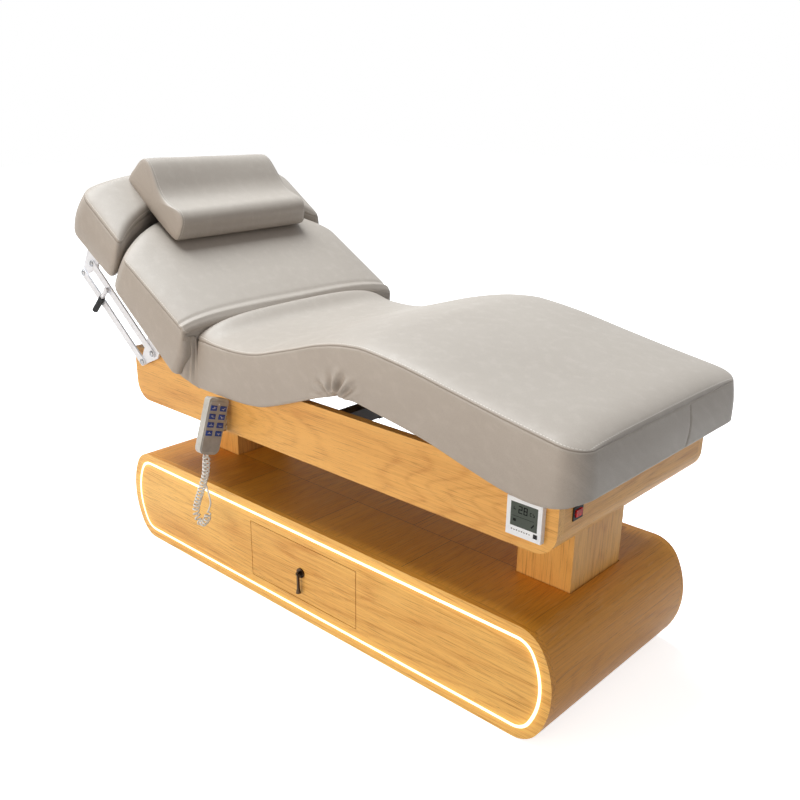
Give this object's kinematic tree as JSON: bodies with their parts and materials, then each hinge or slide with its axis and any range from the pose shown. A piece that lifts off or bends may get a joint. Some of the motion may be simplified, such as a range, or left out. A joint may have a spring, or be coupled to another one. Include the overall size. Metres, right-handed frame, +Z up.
{
  "type": "beauty bed",
  "caption": "Electric beauty and massage bed: wood-veneered lift base with drawer and light strip, upholstered back, thigh and leg sections, raised headrest, loose pillow and wired handset.",
  "frame": {"origin": "on the floor under the centre of the base", "axes": "+X along the bed towards the foot, +Y away from the drawer side, +Z up"},
  "size_m": [1.8109, 0.8378, 1.1649],
  "materials": {
    "oak_veneer": "satin lacquered oak veneer",
    "birch_ply": "plain plywood",
    "upholstery": "soft matt synthetic leather",
    "white_steel": "white powder coat",
    "dark_steel": "black powder coat",
    "bright_steel": "zinc plated",
    "aged_bronze": "dark aged bronze",
    "blue_button": "blue button caps",
    "black_plastic": "black moulded plastic",
    "grey_plastic": "light grey moulded plastic",
    "slate_plastic": "dark grey keypad",
    "cord_plastic": "light grey cord",
    "white_plastic": "white moulded plastic",
    "screen_glass": "grey green display",
    "black_key": "black key",
    "red_lens": "red translucent rocker",
    "light_strip": "lit diffuser"
  },
  "bodies": {
    "base": {"base_shell": "oak_veneer", "base_front_panel": "oak_veneer", "base_rear_panel": "oak_veneer", "light_strip": "light_strip", "drawer_cheeks": "birch_ply", "drawer_runners_fixed": "bright_steel", "lift_columns_outer": "dark_steel"},
    "drawer": {"drawer_runners_moving": "bright_steel", "drawer_front": "oak_veneer", "drawer_box": "birch_ply", "pull_rose": "aged_bronze"},
    "drawer_pull": {"pull_drop": "aged_bronze"},
    "upper_frame": {"lift_columns_inner": "dark_steel", "column_sleeves": "oak_veneer", "side_rails": "oak_veneer", "end_rails": "oak_veneer", "subframe": "dark_steel", "hinge_pins": "bright_steel", "seat_cushion": "upholstery", "seat_board": "birch_ply", "back_actuator": "dark_steel", "leg_actuator": "dark_steel", "handset_face": "slate_plastic", "handset_shell": "grey_plastic", "handset_hook": "white_steel", "handset_cord": "cord_plastic", "control_box": "black_plastic", "thermostat_screen": "screen_glass", "thermostat_body": "white_plastic", "switch_housing": "black_plastic"},
    "thigh": {"thigh_cushion": "upholstery", "thigh_board": "birch_ply", "thigh_hinges": "dark_steel"},
    "leg": {"leg_cushion": "upholstery", "leg_board": "birch_ply", "leg_hinges": "dark_steel"},
    "backrest": {"back_cushion": "upholstery", "back_board": "birch_ply", "back_frame": "dark_steel", "link_plates_lower": "white_steel"},
    "arms_upper": {"headrest_arms_upper": "white_steel"},
    "arms_lower": {"headrest_arms_lower": "white_steel"},
    "headrest": {"headrest_plates": "white_steel", "headrest_cushion": "upholstery", "headrest_board": "birch_ply"},
    "pillow": {"pillow": "upholstery"},
    "lever": {"release_lever": "white_steel", "lever_grip": "black_plastic"},
    "back_rod": {"back_actuator_rod": "bright_steel"},
    "leg_rod": {"leg_actuator_rod": "bright_steel"},
    "stat_key": {"thermostat_key": "black_key"},
    "rocker": {"switch_rocker": "red_lens"},
    "handset_button_1a": {"handset_button_1a": "blue_button"},
    "handset_button_1b": {"handset_button_1b": "blue_button"},
    "handset_button_2a": {"handset_button_2a": "blue_button"},
    "handset_button_2b": {"handset_button_2b": "blue_button"},
    "handset_button_3a": {"handset_button_3a": "blue_button"},
    "handset_button_3b": {"handset_button_3b": "blue_button"},
    "handset_button_4a": {"handset_button_4a": "blue_button"},
    "handset_button_4b": {"handset_button_4b": "blue_button"}
  },
  "joints": [
    {"name": "lift", "type": "slide", "parent": "base", "child": "upper_frame", "axis": [0, 0, 1], "range_m": [-0.14, 0.08]},
    {"name": "back_tilt", "type": "hinge", "parent": "upper_frame", "child": "backrest", "pos_m": [-0.31, 0, 0.64], "axis": [0, 1, 0], "range_deg": [-30.5, 20]},
    {"name": "thigh_tilt", "type": "hinge", "parent": "upper_frame", "child": "thigh", "pos_m": [-0.085, 0, 0.64], "axis": [0, -1, 0], "range_deg": [-16, 4]},
    {"name": "leg_tilt", "type": "hinge", "parent": "thigh", "child": "leg", "pos_m": [0.24471, 0, 0.73454], "axis": [0, -1, 0], "range_deg": [-6.2, 24.6]},
    {"name": "drawer_slide", "type": "slide", "parent": "base", "child": "drawer", "axis": [0, -1, 0], "range_m": [0, 0.32]},
    {"name": "pull_swing", "type": "hinge", "parent": "drawer", "child": "drawer_pull", "pos_m": [0, -0.316, 0.144], "axis": [-1, 0, 0], "range_deg": [-3, 70]},
    {"name": "arm_swing", "type": "hinge", "parent": "backrest", "child": "arms_upper", "pos_m": [-0.58732, 0, 0.65074], "axis": [0, 1, 0], "range_deg": [-0.5, 12]},
    {"name": "lower_arm_swing", "type": "hinge", "parent": "backrest", "child": "arms_lower", "pos_m": [-0.64175, 0, 0.61548], "axis": [0, 1, 0], "range_deg": [-0.6, 12.1]},
    {"name": "headrest_level", "type": "hinge", "parent": "arms_upper", "child": "headrest", "pos_m": [-0.8735, 0, 0.87618], "axis": [0, 1, 0], "range_deg": [-12.1, 0.6]},
    {"name": "pillow_lift", "type": "slide", "parent": "headrest", "child": "pillow", "axis": [0.5592, 0, 0.829], "range_m": [0, 0.15]},
    {"name": "lever_pull", "type": "hinge", "parent": "arms_upper", "child": "lever", "pos_m": [-0.78765, 0, 0.80855], "axis": [0, 1, 0], "range_deg": [-12, 12], "stiffness_Nm_per_rad": 0.4},
    {"name": "back_rod_slide", "type": "slide", "parent": "upper_frame", "child": "back_rod", "axis": [-1, 0, 0], "range_m": [-0.0241, 0.0159]},
    {"name": "leg_rod_slide", "type": "slide", "parent": "upper_frame", "child": "leg_rod", "axis": [1, 0, 0], "range_m": [-0.013, 0.0035]},
    {"name": "stat_key_press", "type": "slide", "parent": "upper_frame", "child": "stat_key", "axis": [0, 1, 0], "range_m": [0, 0.001], "stiffness_N_per_m": 250},
    {"name": "rocker_tilt", "type": "hinge", "parent": "upper_frame", "child": "rocker", "pos_m": [0.79125, -0.25, 0.573], "axis": [0, 1, 0], "range_deg": [-6, 6]},
    {"name": "handset_button_1a_press", "type": "slide", "parent": "upper_frame", "child": "handset_button_1a", "axis": [-1, 0, 0], "range_m": [0, 0.0015], "stiffness_N_per_m": 250},
    {"name": "handset_button_1b_press", "type": "slide", "parent": "upper_frame", "child": "handset_button_1b", "axis": [-1, 0, 0], "range_m": [0, 0.0015], "stiffness_N_per_m": 250},
    {"name": "handset_button_2a_press", "type": "slide", "parent": "upper_frame", "child": "handset_button_2a", "axis": [-1, 0, 0], "range_m": [0, 0.0015], "stiffness_N_per_m": 250},
    {"name": "handset_button_2b_press", "type": "slide", "parent": "upper_frame", "child": "handset_button_2b", "axis": [-1, 0, 0], "range_m": [0, 0.0015], "stiffness_N_per_m": 250},
    {"name": "handset_button_3a_press", "type": "slide", "parent": "upper_frame", "child": "handset_button_3a", "axis": [-1, 0, 0], "range_m": [0, 0.0015], "stiffness_N_per_m": 250},
    {"name": "handset_button_3b_press", "type": "slide", "parent": "upper_frame", "child": "handset_button_3b", "axis": [-1, 0, 0], "range_m": [0, 0.0015], "stiffness_N_per_m": 250},
    {"name": "handset_button_4a_press", "type": "slide", "parent": "upper_frame", "child": "handset_button_4a", "axis": [-1, 0, 0], "range_m": [0, 0.0015], "stiffness_N_per_m": 250},
    {"name": "handset_button_4b_press", "type": "slide", "parent": "upper_frame", "child": "handset_button_4b", "axis": [-1, 0, 0], "range_m": [0, 0.0015], "stiffness_N_per_m": 250}
  ],
  "couplings": [
    {"joint": "leg_tilt", "follows": "thigh_tilt", "ratio": -1.5312},
    {"joint": "back_rod_slide", "follows": "back_tilt", "m_per_rad": 0.045},
    {"joint": "leg_rod_slide", "follows": "thigh_tilt", "m_per_rad": 0.045},
    {"joint": "lower_arm_swing", "follows": "arm_swing", "ratio": 1},
    {"joint": "headrest_level", "follows": "arm_swing", "ratio": -1}
  ]
}
